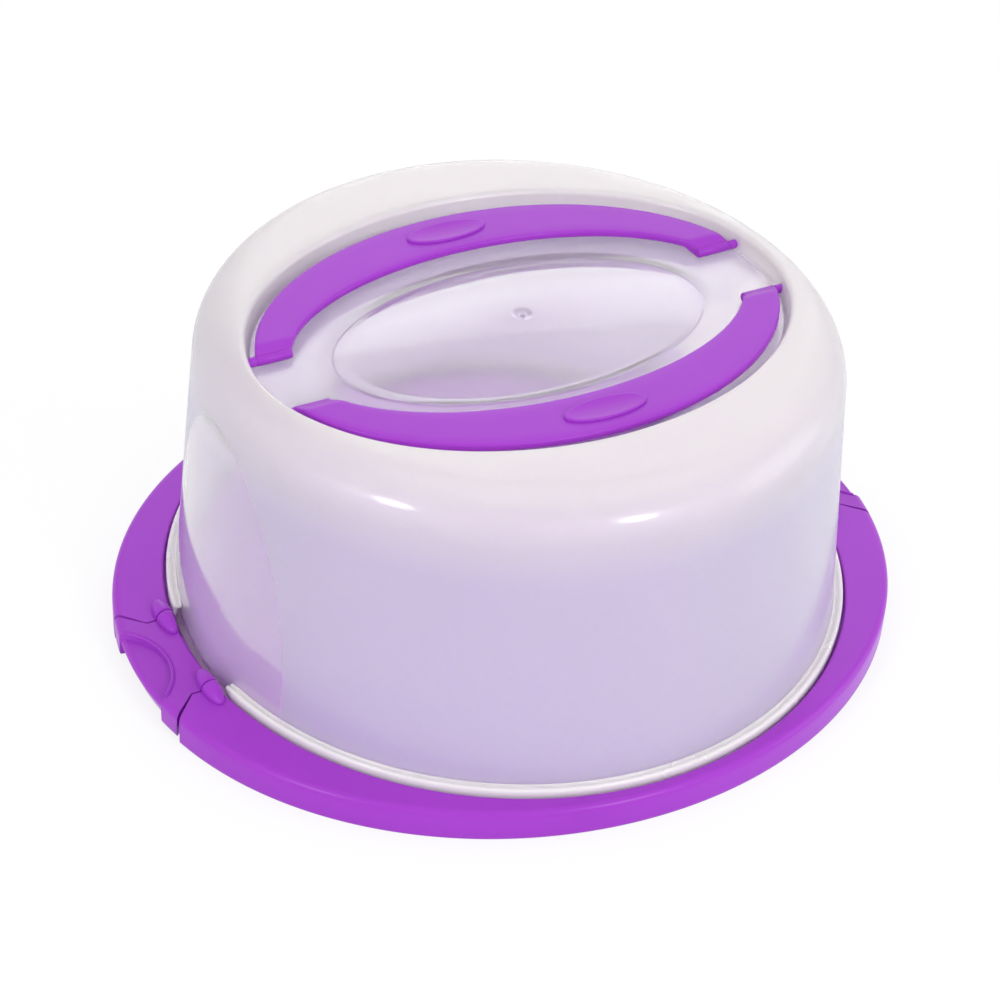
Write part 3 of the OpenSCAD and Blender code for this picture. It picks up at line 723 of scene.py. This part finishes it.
def domeSkin(size):
    # Outer skin of the dome, row by row: drafted wall, shoulder arc, a blend from circle to
    # oval, the recess's rolled lip, its leaning wall, the floor, the crowned panel, the dimple.
    turn = np.linspace(0, tau, size["around"], endpoint=False)
    draft = math.radians(size["draft"])
    _, centre, shoulderZ = domeHeight(size, np.zeros(1))
    endZ = shoulderZ + size["shoulder"] * math.sin(draft)
    wallZ = np.linspace(size["footZ"], endZ, size["wallRows"])
    wallR = size["foot"] - (wallZ - size["footZ"]) * math.tan(draft)
    wall = ovalRings(wallR, wallR, wallZ, turn)
    arc = arcPoints((centre, shoulderZ), size["shoulder"], size["draft"], size["shoulderTo"],
                    size["shoulderRows"])[1:]
    shoulder = revolve(arc, turn)

    lipX, lipY, lip = size["recessX"], size["recessY"], size["lip"]
    start = arc[-1, 0]
    k = np.linspace(0, 1, size["blendRows"])[1:]
    blendX, blendY = start + (lipX + lip - start) * k, start + (lipY + lip - start) * k
    blend = ovalRings(blendX, blendY, blendX * 0, turn)
    blend[..., 2] = domeHeight(size, np.hypot(blend[..., 0], blend[..., 1]))[0]
    rim = blend[-1, :, 2]

    def ovalRow(offset, z):
        # the recess's oval moved outwards, at a height or at a height for each column
        row = ovalRings([lipX + offset], [lipY + offset], [0], turn)
        row[..., 2] = z
        return row

    lipRows = [ovalRow(lip - lip * math.sin(t), rim - lip + lip * math.cos(t))
               for t in np.radians([15, 30, 45, 60, 75, 90])]
    floorZ, lean, corner = size["recessZ"], size["lean"], size["corner"]
    wallRows = [ovalRow(-lean * k, (rim - lip) * (1 - k) + (floorZ + corner) * k)
                for k in (0.25, 0.5, 0.75, 1.0)]
    cornerRows = [ovalRow(-lean - corner + corner * math.cos(t),
                          floorZ + corner - corner * math.sin(t))
                  for t in np.radians([22, 45, 67, 90])]
    fromX, fromY = lipX - lean - corner, lipY - lean - corner
    k = np.linspace(0, 1, size["floorRows"])[1:]
    floorX = fromX + (size["panelX"] - fromX) * k
    floorY = fromY + (size["panelY"] - fromY) * k
    floor = ovalRings(floorX, floorY, floorX * 0 + floorZ, turn)
    # the panel's small rolled step, then its crown, which is a parabola along any radius
    k = np.linspace(0, 1, size["stepRows"])[1:]
    width = size["stepWidth"]
    step = ovalRings(size["panelX"] - width * k, size["panelY"] - width * k,
                     floorZ + size["panelStep"] * smoothStep(k, 0, 1), turn)
    fromX, fromY = size["panelX"] - width, size["panelY"] - width
    rise = size["panelRise"] - size["panelStep"]

    def crownZ(grid):
        # top - rise * ((x / halfX)^2 + (y / halfY)^2)
        share = (grid[..., 0] / fromX) ** 2 + (grid[..., 1] / fromY) ** 2
        return floorZ + size["panelRise"] - rise * share

    small = size["flatFrom"]
    k = np.linspace(1, small, size["crownRows"])[1:]
    crown = ovalRings(fromX * k, fromY * k, k, turn)
    r, d = size["dimple"], size["dimpleDepth"]
    k = np.linspace(0, 1, size["flatRows"])[1:]
    flat = ovalRings(fromX * small * (1 - k) + (r + 0.3) * k,
                     fromY * small * (1 - k) + (r + 0.3) * k, k, turn)
    # the dimple is a shallow dish with a small nub in its middle: (part of its radius, depth)
    dish = np.array([(1.0, 0.03), (0.85, 0.35), (0.68, 0.8), (0.5, 1.0), (0.3, 1.0),
                     (0.24, 0.85), (0.18, 0.5), (0.1, 0.42), (0.0, 0.4)])
    dimple = revolve(dish * [r, 0], turn)
    for grid, drop in ((crown, 0.0), (flat, 0.0), (dimple, d * dish[:, 1][:, None])):
        grid[..., 2] = crownZ(grid) - drop
    return np.concatenate([wall, shoulder, blend] + lipRows + wallRows + cornerRows
                          + [floor, step, crown, flat, dimple])


def flangeRings(size):
    # the rolled bead outside the wall, with a groove between its two ridges, in two arcs that
    # stop with rounded ends beside each latch, and the thin lip that stands in the trough
    top, foot, outer = size["beadTop"], size["beadFoot"], size["flange"]
    section = np.array([
        (144.45, top - 1.9), (144.4, top - 0.4), (144.7, top - 0.05), (145.1, top - 0.1),
        (145.4, top - 0.6), (145.8, top - 0.95), (146.3, top - 0.9), (146.7, top - 0.4),
        (147.1, top - 0.05), (147.9, top), (148.4, top - 0.2), (outer, top - 0.8),
        (outer, foot + 0.3), (outer - 0.3, foot), (outer - 1.1, foot), (outer - 1.4, foot + 0.3),
        (outer - 1.4, top - 2.0), (outer - 1.8, top - 1.9)])
    centre = section.mean(0)
    first = math.asin(size["beadHalfGap"] / outer)
    angle = np.linspace(first, math.pi - first, size["beadColumns"])
    # each end closes in three steps, as the section shrinks towards its centre
    shrink = np.ones_like(angle)
    ends = np.array([0.0, 0.55, 0.85])
    shrink[:3], shrink[-3:] = ends, ends[::-1]
    angle[:3] = first + np.array([0, 0.0008, 0.003])
    angle[-3:] = math.pi - angle[:3][::-1]
    ring = centre + (section - centre)[None] * shrink[:, None, None]
    grid = np.stack([ring[..., 0] * np.cos(angle)[:, None],
                     ring[..., 0] * np.sin(angle)[:, None], ring[..., 1]], 2)
    turn = np.linspace(0, tau, size["lipColumns"], endpoint=False)
    z, t = size["footZ"] + size["lipLift"], size["lipT"] - size["lipLift"]
    lip = revolve([(size["foot"] - 1.0, z), (size["lipR"] - 0.3, z), (size["lipR"], z + 0.3),
                   (size["lipR"], z + t - 0.3), (size["lipR"] - 0.3, z + t),
                   (size["foot"] - 1.0, z + t), (size["foot"] - 1.0, z)], turn)
    return [(grid, True)] + mirrored([(grid, True)], 1), [(lip, True)]


def makeLid(size):
    skin = makeNatural("lid_dome", [(domeSkin(size), True)], frostedPlastic)
    addWall(skin, size["wall"])
    bead, lip = flangeRings(size)
    makeNatural("lid_flange", bead, beadPlastic)
    makeNatural("lid_lower_lip", lip, lipPaintedShadePlastic)


makeLid(lidSizes)
print("stage: lid made")


handleSizes = {
    "outerX": 114.5, "outerY": 83.2,
    "innerX": 101.5, "innerY": 57.5,
    "top": 143.8, "thick": 3.0, "edge": 1.1, "lowEdge": 0.5,
    "pivotY": 19.0, "pivotZ": 139.8, "barrel": 2.2, "armRun": 5.5,
    "pin": 2.0, "pinEnd": 118.08,
    "padX": 18.5, "padY": 6.7, "padRise": 1.2, "padEdge": 0.6, "padDish": 0.6, "padCentre": 70.35,
    "columns": 150,
}


def crescentGrid(size):
    # A rounded bar between two ovals: station u joins a point of the inner oval to one of the
    # outer oval, and the section's corners are quarter circles. Near the pivots its top and
    # underside slope down to the barrel.
    along = np.linspace(0, 1, size["columns"])
    edges = []
    for halfX, halfY in ((size["outerX"], size["outerY"]), (size["innerX"], size["innerY"])):
        first = math.asin(size["pivotY"] / halfY)
        turn = first + (math.pi - 2 * first) * along
        edges.append(np.stack([halfX * np.cos(turn), halfY * np.sin(turn)], 1))
    outer, inner = edges
    width = np.linalg.norm(outer - inner, axis=1)
    e = size["edge"]
    quarter = np.radians([0, 22.5, 45, 67.5, 90])
    # each point: (from the outer edge?, distance in from that edge, from the top?, drop), or
    # without a distance: (0, None, from the top?, share of the way across)
    section = [(0, e - e * math.cos(t), 1, e - e * math.sin(t)) for t in quarter]
    section += [(0, None, 1, k) for k in (0.25, 0.5, 0.75)]
    section += [(1, e - e * math.sin(t), 1, e - e * math.cos(t)) for t in quarter]
    low = size["lowEdge"]
    section += [(1, low - low * math.cos(t), 0, low - low * math.sin(t)) for t in quarter]
    section += [(0, low - low * math.sin(t), 0, low - low * math.cos(t)) for t in quarter]
    rows = []
    pivotY, armEnd = size["pivotY"], size["pivotY"] + size["armRun"]
    armTop = size["pivotZ"] + size["barrel"]
    for fromOuter, inset, fromTop, drop in section:
        if inset is None:
            share = np.full_like(width, drop)
            lower = 0.0
        else:
            share = inset / width
            share = 1 - share if fromOuter else share
            lower = drop
        point = inner + (outer - inner) * share[:, None]
        y = point[:, 1]
        topZ = armTop + (size["top"] - armTop) * smoothStep(y, pivotY - 1.0, armEnd)
        lowZ = np.interp(y, [pivotY, armEnd],
                         [size["pivotZ"] - size["barrel"], size["top"] - size["thick"]])
        z = topZ - lower if fromTop else lowZ + lower
        rows.append(np.stack([point[:, 0], y, z], 1))
    grid = np.array(rows).transpose(1, 0, 2)
    ends = [np.repeat(g.mean(0)[None], len(section), 0)[None] for g in (grid[0], grid[-1])]
    return np.concatenate([ends[0], grid, ends[1]])


def pivotBarrels(size):
    # barrel and pin turned about the pivot line, on both ends of the handle
    turn = np.linspace(0, tau, 32, endpoint=False)
    r, pin, end = size["barrel"], size["pin"], size["pinEnd"]
    armX = size["outerX"] * math.sqrt(1 - (size["pivotY"] / size["outerY"]) ** 2)
    armIn = size["innerX"] * math.sqrt(1 - (size["pivotY"] / size["innerY"]) ** 2)
    profile = np.array([(armIn - 0.2, 0), (armIn - 0.2, r - 0.5), (armIn + 0.3, r), (armX - 0.4, r),
                        (armX, r - 0.4), (armX, pin), (end - 0.4, pin), (end, pin - 0.4), (end, 0)])
    grid = np.stack([profile[:, 0][:, None] * np.ones_like(turn),
                     size["pivotY"] + profile[:, 1][:, None] * np.cos(turn),
                     size["pivotZ"] + profile[:, 1][:, None] * np.sin(turn)], 2)
    return [(grid, True)] + mirrored([(grid, True)], 0)


def thumbPad(size):
    # raised oval with a short upright side, a rolled edge and a dished top
    turn = np.linspace(0, tau, 96, endpoint=False)
    rise, top, e = size["padRise"], size["top"], size["padEdge"]
    edge = [(0.0, top - 0.4), (0.0, top), (0.0, top + rise - e)]
    edge += [(-e + e * math.cos(t), top + rise - e + e * math.sin(t))
             for t in np.radians([22, 45, 67, 90])]
    edge = np.array(edge)
    rings = ovalRings(size["padX"] + edge[:, 0], size["padY"] + edge[:, 0], edge[:, 1], turn)
    k = np.linspace(1, 0, 12)[1:]
    inner = ovalRings((size["padX"] - e) * k, (size["padY"] - e) * k,
                      top + rise - size["padDish"] * (1 - k ** 2), turn)
    grid = np.concatenate([rings, inner])
    grid[..., 1] += size["padCentre"]
    return [(grid, True)]


def makeHandle(size, name, body, turnRound):
    place = halfTurn if turnRound else list
    grids = [(crescentGrid(size), True)] + pivotBarrels(size) + thumbPad(size)
    makePurple(name + "_moulding", place(grids), body, name, 50)


makeHandle(handleSizes, "rear_handle", "rear_handle_body", False)
makeHandle(handleSizes, "front_handle", "front_handle_body", True)
print("stage: handles made")


def whereSeen(tree, share):
    # share for a ray that shows the background itself: straight, mirrored or through plastic
    ray = addNode(tree, "ShaderNodeLightPath")
    straight = addNode(tree, "ShaderNodeMath", {"operation": "MAXIMUM"}, {
        0: (ray, "Is Camera Ray"), 1: (ray, "Is Transmission Ray")})
    seen = addNode(tree, "ShaderNodeMath", {"operation": "MAXIMUM"}, {
        0: (straight, 0), 1: (ray, "Is Glossy Ray")})
    part = addNode(tree, "ShaderNodeMath", {"operation": "MULTIPLY"}, {0: (seen, 0), 1: share})
    return part, 0


stageSizes = {
    "floorR": 2600.0, "floorSides": 64,
    "floorWhite": 0.8,     # how much of the seen floor is plain white, the rest shows shadow
    "worldLight": 0.77,    # strength of the world where it is light and not background
    "target": (0, 0, 0.07),
    # each lamp in metres and watts: place in the photograph's frame, width, power
    "lamps": {
        "left_softbox": ((-0.88, -1.10, 0.97), 0.34, 5.8),
        "right_softbox": ((0.98, -1.08, 0.90), 0.34, 6.6),
        "top_softbox": ((0.1, 0.2, 1.9), 1.5, 2.0),
        "back_softbox": ((0.1, 1.6, 0.6), 1.7, 6.5),
        "side_softbox": ((1.5, 0.1, 0.3), 1.0, 4.0),
    },
}


def makeStage(size):
    # a floor disc, mostly plain white where it is seen but with its shadow, and a pale world
    sides = size["floorSides"]
    turn = np.linspace(0, tau, sides, endpoint=False)
    mesh = bpy.data.meshes.new("studio_floor")
    disc = revolve([(0.0, 0.0), (size["floorR"], 0.0)], turn)
    mesh.from_pydata((disc.reshape(-1, 3) * millimetre).tolist(), [],
                     gridFaces(2, sides, 0, True).tolist())
    floor = bpy.data.objects.new("studio_floor", mesh)
    bpy.context.collection.objects.link(floor)
    material, tree = newMaterial("white paper floor")
    paper = addNode(tree, "ShaderNodeBsdfDiffuse", inputs={"Color": hexToLinear("FAFAFA")})
    glow = addNode(tree, "ShaderNodeEmission", inputs={
        "Color": hexToLinear("FFFFFF"), "Strength": 1.0})
    both = addNode(tree, "ShaderNodeMixShader", inputs={
        0: whereSeen(tree, size["floorWhite"]), 1: (paper, 0), 2: (glow, 0)})
    output = addNode(tree, "ShaderNodeOutputMaterial")
    tree.links.new(both.outputs[0], output.inputs["Surface"])
    mesh.materials.append(material)

    world = bpy.data.worlds.new("studio")
    bpy.context.scene.world = world
    world.use_nodes = True
    tree = world.node_tree
    tree.nodes.clear()
    light = addNode(tree, "ShaderNodeBackground", inputs={
        "Color": hexToLinear("FFFFFF"), "Strength": size["worldLight"]})
    white = addNode(tree, "ShaderNodeBackground", inputs={
        "Color": hexToLinear("FFFFFF"), "Strength": 1.0})
    mix = addNode(tree, "ShaderNodeMixShader", inputs={
        0: whereSeen(tree, 1.0), 1: (light, 0), 2: (white, 0)})
    output = addNode(tree, "ShaderNodeOutputWorld")
    tree.links.new(mix.outputs[0], output.inputs["Surface"])


def addLamp(name, place, target, width, power):
    light = bpy.data.lights.new(name, "AREA")
    light.shape = "DISK"
    light.size = width
    light.energy = power
    lamp = bpy.data.objects.new(name, light)
    lamp.location = place
    lamp.rotation_mode = "QUATERNION"
    lamp.rotation_quaternion = (Vector(target) - Vector(place)).to_track_quat("-Z", "Y")
    bpy.context.collection.objects.link(lamp)


cameraSizes = {
    "turn": 0.525265,        # the part turned against the view, in radians
    "elevation": 39.36809,   # in degrees, as yaw, pitch and roll
    "distance": 1.239777,    # in metres
    "yaw": 0.200696, "pitch": 1.747766, "roll": -3.950297,
    "lens": 100.428, "sensor": 36.0,
}


def turned(vector, axis, degrees):
    return Matrix.Rotation(math.radians(degrees), 3, axis) @ vector


def makeCamera(size):
    # Looks at the origin from the photograph's side, then yaws, pitches and rolls a little.
    # The matrix that turns the photograph's frame into the part's is returned for the lamps.
    up = math.radians(size["elevation"])
    position = Vector((0, -size["distance"] * math.cos(up), size["distance"] * math.sin(up)))
    forward = -position.normalized()
    right = forward.cross(Vector((0, 0, 1))).normalized()
    top = right.cross(forward)
    forward, right = turned(forward, top, size["yaw"]), turned(right, top, size["yaw"])
    forward, top = turned(forward, right, size["pitch"]), turned(top, right, size["pitch"])
    right, top = turned(right, forward, size["roll"]), turned(top, forward, size["roll"])
    c, s = math.cos(size["turn"]), math.sin(size["turn"])
    toPart = Matrix(((c, s, 0), (-s, c, 0), (0, 0, 1)))
    right, top, back, position = (toPart @ v for v in (right, top, -forward, position))
    data = bpy.data.cameras.new("photo_camera")
    data.lens, data.sensor_width = size["lens"], size["sensor"]
    data.clip_start, data.clip_end = 0.05, 20
    camera = bpy.data.objects.new("photo_camera", data)
    camera.matrix_world = Matrix(((right.x, top.x, back.x, position.x),
                                  (right.y, top.y, back.y, position.y),
                                  (right.z, top.z, back.z, position.z), (0, 0, 0, 1)))
    bpy.context.collection.objects.link(camera)
    bpy.context.scene.camera = camera
    return toPart


makeStage(stageSizes)
toPart = makeCamera(cameraSizes)
for lampName, (place, width, power) in stageSizes["lamps"].items():
    addLamp(lampName, toPart @ Vector(place), stageSizes["target"], width, power)
bpy.context.scene.view_settings.view_transform = "Standard"
print("stage: floor, lamps and camera made")
